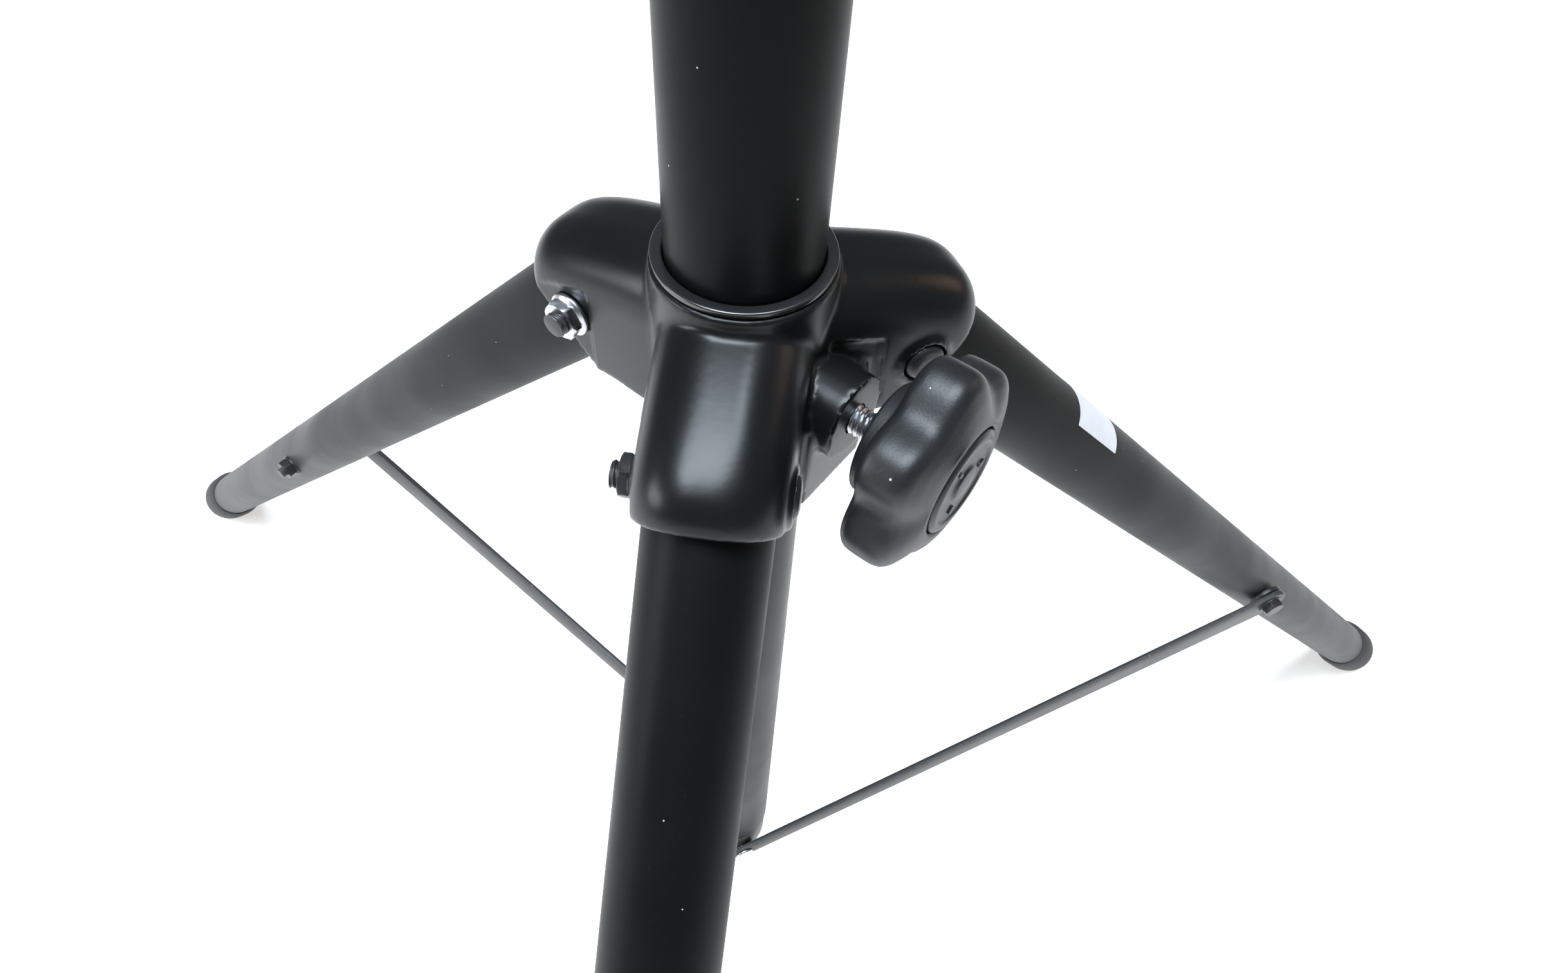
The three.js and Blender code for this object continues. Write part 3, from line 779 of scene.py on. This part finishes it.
# %% Bore and hollows of the collar
CAVITY_ROOF = [(25, -10), (34, -12.2), (44, -15.2), (52.8, -19.7), (62.4, -29.9), (72, -40.1)]
bore = [
    (0, -70), (21.2, -70), (21.2, -53.7), (19.35, -53.7), (19.35, -12.3), (21.2, -12.3),
    (21.2, 5), (0, 5),
]
hollows = [lathe("bore", [(r, RING_Z + z) for r, z in bore])]
pockets, drills = [], []
for azimuth in AZIMUTHS.values():
    rings = [arch((x, z, x, -80), LEG_R + 0.3, 12) for x, z in CAVITY_ROOF]
    hollows.append(loft("hollow", rings, turn(azimuth)))
    ball = [(18.1 * math.sin(a), -18.1 * math.cos(a)) for a in np.linspace(0, math.pi, 33)]
    ball[0], ball[-1] = (0, -18.1), (0, 18.1)
    pockets.append(lathe("pocket", ball, turn(azimuth) @ bar_frame(PIVOT.x, PIVOT.z), 64))
    drills.append(lathe("drill", [(0, -30), (3.8, -30), (3.8, 30), (0, 30)],
        turn(azimuth) @ bar_frame(PIVOT.x, PIVOT.z), 32))
drills.append(lathe("drill", [(0, 10), (5.5, 10), (5.5, 26.2), (4.3, 26.2), (4.3, 40), (0, 40)],
    knob_frame(COLLAR_KNOB_Z), 32))
cut(collar, *hollows)
cut(collar, *pockets)
cut(collar, *drills)
dress(collar, "collar", "cast_black", "leg_collar")

# %% [markdown]
# Two moulded bushes line the bore. The lip of the upper one shows round the pole as a thin
# bright ring, so its edges get small curves that catch the light.

# %% Collar bushes
LIP_R = span("collar_bush_top", (1, 0, 0))[1]
top_z0, top_z1 = span("collar_bush_top")
low_z0, low_z1 = span("collar_bush_bottom")
top_bush = [(19.3, top_z0), (20.9, top_z0), (20.9, top_z1 - 1.7), (LIP_R, top_z1 - 1.7),
    (LIP_R, top_z1), (19.3, top_z1)]
low_bush = [(19.3, low_z0), (LIP_R, low_z0), (LIP_R, low_z0 + 1.7), (20.9, low_z0 + 1.7),
    (20.9, low_z1), (19.3, low_z1)]
for name, profile in (("collar_bush_top", top_bush), ("collar_bush_bottom", low_bush)):
    bush = lathe(name.replace("collar_bush", "collar_liner"), soften(profile, 0.55), segments=128)
    dress(bush, "collar", "ring_black", name)

# %% [markdown]
# ## Bolts and nuts at the collar
# Each leg hangs on a bolt with a low round head. The head sits in the cast seat on one side,
# and on the other a flanged nut leaves the thread standing out.

# %% Leg bolts
for side, azimuth in AZIMUTHS.items():
    nut = NUT_SIDE[side]
    at = turn(azimuth) @ bar_frame(PIVOT.x, PIVOT.z, -nut)
    dome = [(0, 17.9), (5.6, 17.9), (5.6, 19.3), (4.6, 20.4), (2.8, 20.8), (0, 20.8)]
    head = lathe("head", solid_profile(dome, 0.5), at, 64)
    shank = lathe("shank", solid_profile([(0, -19), (3.4, -19), (3.4, 18.5), (0, 18.5)], 0.3), at, 48)
    end = thread("end", 3.5, 18.5, 24.4, turn(azimuth) @ bar_frame(PIVOT.x, PIVOT.z, nut))
    bolt = join(f"collar_bolt_{side}", head, shank, end)
    dress(bolt, "collar", "thread_black", f"leg_bolt_{side}")

# %% Leg nuts
LEG_NUT_FLATS = 10.2

for side, azimuth in AZIMUTHS.items():
    at = turn(azimuth) @ bar_frame(PIVOT.x, PIVOT.z, NUT_SIDE[side])
    body = hexagon("body", LEG_NUT_FLATS, 19.1, 22.0, at)
    flange = soften([(3.7, 17.6), (6.4, 17.6), (6.4, 18.5), (5.2, 19.4), (3.7, 19.4)], 0.25)
    nut = join(f"collar_nut_{side}", body, lathe("flange", flange, at, 64))
    dress(nut, "collar", "thread_black" if side == "front" else "zinc", f"leg_nut_{side}")

# %% [markdown]
# ## Legs
# The legs are thin steel tube, each closed at the bottom by a rubber cap with a round end
# and a small flat where it stands.

# %% Leg tubes
LEG_T = leg_span("leg_tube_front")
for side in AZIMUTHS:
    profile = tube_profile(LEG_R - 1.5, LEG_R, *LEG_T)
    tube = lathe(f"leg_{side}_tube", profile, on_leg(side), segments=112)
    dress(tube, f"leg_{side}", "leg_black", f"leg_tube_{side}")

# %% [markdown]
# The cap is turned like the tube, then sliced level with the floor. The slice is a bisect in
# the leg's own frame, filled to make the sole.

# %% Rubber feet
FOOT_T0, FOOT_T1 = LEG_T[1] - 29, LEG_T[1] + 13
FOOT_R = 18.5
FOOT_ROUND = 8


def slice_level(obj, height):
    work = bmesh.new()
    work.from_mesh(obj.data)
    everything = work.verts[:] + work.edges[:] + work.faces[:]
    cut_made = bmesh.ops.bisect_plane(
        work, geom=everything, plane_co=(0, 0, height * MM), plane_no=(0, 0, -1), clear_outer=True
    )
    rim = [g for g in cut_made["geom_cut"] if isinstance(g, bmesh.types.BMEdge)]
    bmesh.ops.contextual_create(work, geom=rim)
    work.to_mesh(obj.data)
    work.free()
    return obj


for side in AZIMUTHS:
    dome = [(0, FOOT_T1)]
    for i in range(13):
        a = i / 12 * math.pi / 2
        height = FOOT_T1 - 1.2 - FOOT_ROUND * (1 - math.cos(a))
        dome.append((FOOT_R - FOOT_ROUND + FOOT_ROUND * math.sin(a), height))
    rest = [(FOOT_R, FOOT_T0 + 3), (FOOT_R - 1.6, FOOT_T0), (LEG_R + 0.05, FOOT_T0),
        (LEG_R + 0.05, LEG_T[1] + 0.3), (0, LEG_T[1] + 0.3)]
    profile = dome + soften(rest, 0.4, closed=False)
    cap = slice_level(square_up(lathe(f"leg_{side}_cap", profile, on_leg(side), 112)), FLOOR_Z)
    dress(cap, f"leg_{side}", "rubber_black", f"foot_{side}")

# %% [markdown]
# The stud that holds the stay bar goes right through the tube. Its nut shows on the far side
# of the leg from the bar.

# %% Studs on the legs
STAY_FLATS = 10

for side, azimuth in AZIMUTHS.items():
    at = turn(azimuth) @ bar_frame(HELD.x, HELD.z, 1)
    shank = lathe("shank", solid_profile([(0, -15.8), (3, -15.8), (3, 17), (0, 17)], 0.3), at, 40)
    nut = hexagon("nut", STAY_FLATS, LEG_R + 0.5, LEG_R + 5.3, at)
    washer = lathe("washer", solid_profile([(0, LEG_R - 1.5), (6.2, LEG_R - 1.5), (6.2, LEG_R + 0.6),
        (0, LEG_R + 0.6)], 0.3), at, 56)
    end = thread("end", 3, 17, 24, at, pitch=1.0, depth=0.4)
    stud = join(f"leg_{side}_stud", shank, washer, nut, end)
    dress(stud, f"leg_{side}", "thread_black", f"leg_stud_{side}")

# %% [markdown]
# ## Stay bars
# The stay bars are cut from steel strip with round ends. They widen a little toward the leg.
# The long edges are eased by the tumbling that comes before paint, so a small bevel follows.

# %% Stay bars
BAR_WIDTH = {"hub": 10.5, "leg": 19.5}
bar_run = HELD - HUB
bar_length = bar_run.length
bar_slope = math.atan2(bar_run.z, bar_run.x)


def bar_outline(steps=20):
    out = []
    for i in range(steps + 1):
        a = math.pi / 2 + i / steps * math.pi
        out.append((math.cos(a) * BAR_WIDTH["hub"] / 2, math.sin(a) * BAR_WIDTH["hub"] / 2))
    for i in range(steps + 1):
        a = -math.pi / 2 + i / steps * math.pi
        out.append((bar_length + math.cos(a) * BAR_WIDTH["leg"] / 2, math.sin(a) * BAR_WIDTH["leg"] / 2))
    return out


for side, azimuth in AZIMUTHS.items():
    lay = Matrix.Translation(HUB) @ Matrix.Rotation(-bar_slope, 4, "Y")
    bar = plate(f"stay_bar_{side}", bar_outline(), -BAR_FAR, -BAR_NEAR, turn(azimuth) @ lay)
    bevelled(bar, 0.5)
    dress(bar, f"brace_{side}", "steel_black", f"brace_{side}")

# %% [markdown]
# At the leg each bar is held off the tube by a flat plastic disc and clamped by a hexagon bolt.
# The disc turns with the bar when the stand folds, so a hollow that fits the round tube at
# rest would bite into it when folded. A flat disc clears it at every angle.

# %% Spacers and bolts of the stay bars
for side, azimuth in AZIMUTHS.items():
    at = turn(azimuth) @ bar_frame(HELD.x, HELD.z, -1)
    disc = [(3.3, LEG_R + 0.3), (9.4, LEG_R + 0.3), (9.4, 18.4), (8.6, 19.1), (3.3, 19.1)]
    spacer = lathe(f"stay_spacer_{side}", soften(disc, 0.4), at, 64)
    dress(spacer, f"brace_{side}", "plastic_black", f"brace_spacer_{side}")
    head = hexagon("head", STAY_FLATS, BAR_FAR + 0.3, BAR_FAR + 4.3, at)
    washer = lathe("washer", solid_profile([(0, BAR_FAR - 0.2), (6.4, BAR_FAR - 0.2),
        (6.4, BAR_FAR + 0.5), (0, BAR_FAR + 0.5)], 0.2), at, 56)
    stub = lathe("stub", solid_profile([(0, 16.3), (3, 16.3), (3, BAR_FAR + 1), (0, BAR_FAR + 1)],
        0.2), at, 40)
    bolt = join(f"stay_bolt_{side}", head, washer, stub)
    dress(bolt, f"brace_{side}", "thread_black", f"brace_bolt_{side}")

# %% [markdown]
# ## The clamping knobs
# Each knob is a moulded handle with six soft lobes. A loft of wavy rings does it: each ring
# is a circle whose radius dips between the lobes, and the dip fades out toward the hub.

# %% Knob shape
KNOB_R = 28.6
KNOB_WAVE = 4.6
KNOB_PHASE = math.radians(37.5)
KNOB_DEPTH = 23.6
KNOB_STATIONS = [
    (0, 0, 0), (0, 13.6, 0), (0.6, 15, 0), (4.6, 15.4, 0), (5.2, KNOB_R - 5, 1), (5.9, KNOB_R - 2.2, 1),
    (7.6, KNOB_R - 0.3, 1), (10, KNOB_R, 1), (15.5, KNOB_R, 1), (17.6, KNOB_R - 0.5, 1),
    (19.4, KNOB_R - 2.1, 0.95), (21.2, KNOB_R - 5.6, 0.75), (22.6, KNOB_R - 9.8, 0.35),
    (23.1, 16.6, 0), (23.1, 15.3, 0), (22.4, 14.7, 0), (20.6, 14.6, 0), (20.6, 0, 0),
]


def knob_body(name, start, z):
    smooth = soften(KNOB_STATIONS, 1.2, closed=False, steps=4)
    rings = []
    for x, reach, share in smooth:
        ring = []
        for k in range(180):
            a = 2 * math.pi * k / 180
            dip = KNOB_WAVE * share * (0.5 - 0.5 * math.cos(6 * (a - KNOB_PHASE))) ** 1.4
            radius = max(reach - dip, 0.01)
            ring.append((-math.sin(a) * radius, -math.cos(a) * radius, start + x))
        rings.append(ring)
    return loft(name, rings, knob_frame(z))


def knob_disc(name, start, z):
    """The disc in the knob's face, with a plain raised ring and three short ribs."""
    base = start + KNOB_DEPTH - 2.7
    outline = [(0, base), (14.3, base), (14.3, base + 2.2), (13.2, base + 3.0), (11.6, base + 3.0),
        (11.0, base + 2.4), (5.4, base + 2.4), (4.6, base + 3.2), (0, base + 3.5)]
    parts = [lathe("disc", solid_profile(outline, 0.35), knob_frame(z), 96)]
    for k in range(3):
        rib = [(-8.9, -0.7), (-6.7, -0.7), (-6.7, 0.7), (-8.9, 0.7)]
        face = [(x, y, h) for h in (base + 1, base + 3) for x, y in rib]
        sides = [(0, 1, 2, 3), (4, 5, 6, 7)] + [(i, (i + 1) % 4, (i + 1) % 4 + 4, i + 4) for i in range(4)]
        spin = Matrix.Rotation(math.radians(120 * k + 30), 4, "Z")
        parts.append(bevelled(make_object("rib", face, sides, knob_frame(z) @ spin), 0.25))
    return join(name, *parts)


print("knob stations:", len(KNOB_STATIONS))

# %% [markdown]
# A knob set is the handle, its face disc, the zinc screw that turns with it and the pad that
# the screw presses on the pole. The collar has one, and the pole's upper clamp another.

# %% Knob sets
KNOB_DIR = turn(KNOB_AZ).to_3x3() @ Vector((1, 0, 0))
for name in ("collar", "upper"):
    z = middle(f"{name}_knob").z
    start = span(f"{name}_knob", KNOB_DIR)[0]
    screw0, screw1 = span(f"{name}_screw", KNOB_DIR)
    pad0, pad1 = span(f"{name}_pad", KNOB_DIR)
    dress(knob_body(f"{name}_handle", start, z), f"{name}_knob", "knob_black", f"{name}_knob", crease=50)
    dress(knob_disc(f"{name}_handle_disc", start, z), f"{name}_knob", "plastic_black", f"{name}_knob_cap")
    rod = thread(f"{name}_clamp_screw", 4, screw0, screw1, knob_frame(z), pitch=1.5, depth=0.55,
        segments=40)
    dress(rod, f"{name}_knob", "zinc", f"{name}_screw")
    pad = lathe(f"{name}_clamp_pad",
        solid_profile([(0, pad0), (5, pad0), (5, pad1), (0, pad1)], 0.4), knob_frame(z), 48)
    dress(pad, f"{name}_pad", "plastic_black", f"{name}_pad")

# %% [markdown]
# ## The upper clamp
# The clamp at the top of the outer pole is a second casting: a turned sleeve with a block for
# the screw. It is melted for its fillets and then bored.

# %% Upper clamp casting
CLAMP_Z0, CLAMP_Z1 = span("clutch_housing")
UPPER_Z = middle("upper_knob").z
sleeve = [(0, CLAMP_Z0), (23, CLAMP_Z0), (26, CLAMP_Z0 + 6), (27, CLAMP_Z0 + 12), (27, CLAMP_Z1 - 8),
    (24.5, CLAMP_Z1), (0, CLAMP_Z1)]
block = soften([(14, UPPER_Z - 20), (39, UPPER_Z - 20), (39, UPPER_Z + 20), (14, UPPER_Z + 20)], 5)
clamp = join("upper_clamp_casting", lathe("sleeve", sleeve), plate("block", block, -13, 13, turn(KNOB_AZ)))
melt(clamp, 0.8, 5)
bore = [(0, CLAMP_Z0 - 5), (POLE_R + 0.3, CLAMP_Z0 - 5), (POLE_R + 0.3, POLE_Z[1] + 1),
    (INNER_R + 0.4, POLE_Z[1] + 1)]
bore += [(INNER_R + 0.4, POLE_Z[1] + 3), (21.2, POLE_Z[1] + 3), (21.2, CLAMP_Z1 + 5), (0, CLAMP_Z1 + 5)]
cut(clamp, lathe("bore", bore))
cut(clamp, lathe("drill", [(0, 16), (5.5, 16), (5.5, 26.2), (4.3, 26.2), (4.3, 45), (0, 45)],
    knob_frame(UPPER_Z), 32))
dress(clamp, "mast", "cast_black", "clutch_housing")

bush_z0, bush_z1 = span("clutch_bush")
bush = lathe("upper_clamp_liner",
    soften([(17.95, bush_z0), (20.9, bush_z0), (20.9, bush_z1), (17.95, bush_z1)], 0.5), segments=96)
dress(bush, "mast", "plastic_black", "clutch_bush")

# %% [markdown]
# ## Small parts of the inner pole
# A cap closes the top, a guide slides in the outer pole at the bottom, and a chromed pin with
# a ribbed grip stops the inner pole from dropping.

# %% Cap, guide and safety pin
cap_z0, cap_z1 = span("top_cap")
skirt = INNER_R - 1.85
cap = [(0, cap_z0), (skirt, cap_z0), (skirt, INNER_Z[1] + 0.3), (INNER_R, INNER_Z[1] + 0.3),
    (INNER_R, cap_z1 - 1.4), (INNER_R - 1.4, cap_z1), (0, cap_z1)]
dress(lathe("inner_pole_cap", solid_profile(cap)), "mast_inner", "plastic_black", "top_cap")
guide_z0, guide_z1 = span("inner_guide")
guide = [(0, guide_z0), (INNER_R, guide_z0), (INNER_R, INNER_Z[0] - 0.3), (skirt, INNER_Z[0] - 0.3),
    (skirt, guide_z1), (0, guide_z1)]
dress(lathe("inner_pole_guide", solid_profile(guide)), "mast_inner", "plastic_black", "inner_guide")

pin_x0, pin_x1 = span("safety_pin", (1, 0, 0))
at = Matrix.Translation((0, 0, PIN_Z)) @ X_AXIS
shaft = lathe("shaft", solid_profile([(0, pin_x0), (2.4, pin_x0), (3.8, pin_x0 + 2.5),
    (3.8, pin_x1 - 6), (0, pin_x1 - 6)], 0.6), at, 56)
rings = []
for x, reach in soften([(21, 0), (21, 7.2), (22, 8), (32, 8), (33, 7.2), (33, 0)], 0.5, closed=False):
    wave = [0.35 * (0.5 - 0.5 * math.cos(2 * math.pi * k / 6)) for k in range(6)]
    rings.append([(math.cos(k / 144 * 2 * math.pi) * max(reach - wave[k % 6] * (reach > 6), 0.01),
        math.sin(k / 144 * 2 * math.pi) * max(reach - wave[k % 6] * (reach > 6), 0.01),
        x) for k in range(144)])
grip = loft("grip", rings, at)
dress(join("safety_pin_with_grip", shaft, grip), "safety_pin", "chrome", "safety_pin")

# %% [markdown]
# Inside the top of each leg a moulded plug keeps the bolt from crushing the tube. It is hidden
# by the hood at rest, so the CAD solid stays, with the moulded finish in its slot.

# %% Carried-over plugs
for side in AZIMUTHS:
    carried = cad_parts[f"leg_plug_{side}"]
    carried.data.materials.clear()
    carried.data.materials.append(FINISHES["plastic_black"])
print("carried CAD nodes:", [f"leg_plug_{side}" for side in AZIMUTHS])

# %% [markdown]
# ## The paper label
# A blank white paper label is wrapped over the upper side of the right leg. It is a thin closed sheet bent
# round the tube.

# %% Label
LABEL = {"start": 96, "end": 131, "from": 130, "to": 200, "thick": 0.12}
paper = bpy.data.materials.new("label_paper")
paper.use_nodes = True
tree = paper.node_tree
where = add(tree, "ShaderNodeTexCoord").outputs["Object"]
fibre = add(tree, "ShaderNodeTexNoise", {"Vector": where, "Scale": 900.0, "Detail": 5.0}).outputs[0]
stain = add(tree, "ShaderNodeTexNoise", {"Vector": where, "Scale": 90.0, "Detail": 3.0}).outputs[0]
tint = mix_colour(tree, stain, [0.78, 0.79, 0.82, 1], [0.6, 0.6, 0.62, 1])
crinkle = add(tree, "ShaderNodeBump", {"Strength": 0.3, "Distance": 0.0001, "Height": fibre}).outputs[0]
tree.links.new(tint, tree.nodes["Principled BSDF"].inputs["Base Color"])
tree.links.new(crinkle, tree.nodes["Principled BSDF"].inputs["Normal"])
tree.nodes["Principled BSDF"].inputs["Roughness"].default_value = 0.55
FINISHES["label_paper"] = paper

rows, columns = 12, 24
points = []
for layer in (0, 1):
    for i in range(rows + 1):
        for k in range(columns + 1):
            t = LABEL["start"] + (LABEL["end"] - LABEL["start"]) * i / rows
            a = math.radians(LABEL["from"] + (LABEL["to"] - LABEL["from"]) * k / columns)
            reach = LEG_R + 0.04 + layer * LABEL["thick"]
            points.append((reach * math.cos(a), -reach * math.sin(a), t))
grid = columns + 1
layer_size = (rows + 1) * grid
faces = []
for i in range(rows):
    for k in range(columns):
        a = i * grid + k
        faces.append((a, a + 1, a + grid + 1, a + grid))
        faces.append(tuple(layer_size + v for v in (a, a + grid, a + grid + 1, a + 1)))
rim = [k for k in range(grid)] + [i * grid + columns for i in range(1, rows + 1)]
rim += [rows * grid + k for k in reversed(range(columns))] + [i * grid for i in reversed(range(1, rows))]
for n, a in enumerate(rim):
    b = rim[(n + 1) % len(rim)]
    faces.append((a, b, b + layer_size, a + layer_size))
dress(make_object("leg_right_label", points, faces, on_leg("right")), "leg_right", "label_paper")

# %% [markdown]
# ## Floor and light
# The floor is a wide pale disc, level with the soles. A large soft box overhead lays a band
# along the top of the hoods, a cool one from the left lifts the left leg, and a weak warm one
# from the right gives the brownish edge that a wooden room would.

# %% Floor
floor_material = bpy.data.materials.new("studio_floor")
floor_material.use_nodes = True
tree = floor_material.node_tree
where = add(tree, "ShaderNodeTexCoord").outputs["Object"]
mottle = add(tree, "ShaderNodeTexNoise", {"Vector": where, "Scale": 3.0, "Detail": 3.0}).outputs[0]
tint = mix_colour(tree, mottle, [0.9, 0.86, 0.81, 1], [0.92, 0.88, 0.83, 1])
tree.links.new(tint, tree.nodes["Principled BSDF"].inputs["Base Color"])
tree.nodes["Principled BSDF"].inputs["Roughness"].default_value = 0.9
tree.nodes["Principled BSDF"].inputs["Specular IOR Level"].default_value = 0.1
tree.nodes["Principled BSDF"].inputs["Emission Color"].default_value = (1, 1, 1, 1)
tree.nodes["Principled BSDF"].inputs["Emission Strength"].default_value = 0.55
sweep = [(0, FLOOR_Z - 0.5), (5000, FLOOR_Z - 0.5), (5000, FLOOR_Z - 30), (0, FLOOR_Z - 30)]
floor = lathe("studio_floor_disc", sweep, segments=128)
square_up(floor)
floor.data.materials.append(floor_material)
print("floor at", FLOOR_Z - 0.5, "mm")


# %% Lights
def soft_box(name, location, target, size, power, colour):
    data = bpy.data.lights.new(name, "AREA")
    data.shape = "RECTANGLE"
    data.size, data.size_y = size
    data.energy = power
    data.color = colour
    lamp = bpy.data.objects.new(name, data)
    lamp.location = location
    lamp.rotation_euler = (Vector(target) - Vector(location)).to_track_quat("-Z", "Y").to_euler()
    scene.collection.objects.link(lamp)
    return lamp


soft_box("overhead_box", (-0.22, -0.3, 2.6), (-0.1, -0.2, 0.3), (1.0, 2.0), 140, (0.8, 0.9, 1.0))
soft_box("left_box", (-2.4, -0.9, 0.9), (0, 0, 0.1), (1.2, 0.9), 30, (0.93, 0.96, 1.0))
soft_box("right_warm_box", (2.2, 1.3, 1.3), (0, 0, 0.2), (0.7, 0.9), 4.5, (1.0, 0.72, 0.5))

world = bpy.data.worlds.new("studio")
scene.world = world
world.use_nodes = True
tree = world.node_tree
tree.nodes.clear()
seen = add(tree, "ShaderNodeBackground", {"Color": (0.93, 0.94, 0.95, 1), "Strength": 1.0})
felt = add(tree, "ShaderNodeBackground", {"Color": (0.9, 0.95, 1.0, 1), "Strength": 0.14})
ray = add(tree, "ShaderNodeLightPath").outputs["Is Camera Ray"]
blend = add(tree, "ShaderNodeMixShader", {0: ray, 1: felt.outputs[0], 2: seen.outputs[0]})
add(tree, "ShaderNodeOutputWorld", {"Surface": blend.outputs[0]})
scene.view_settings.view_transform = "Standard"
scene.view_settings.exposure = 0.0
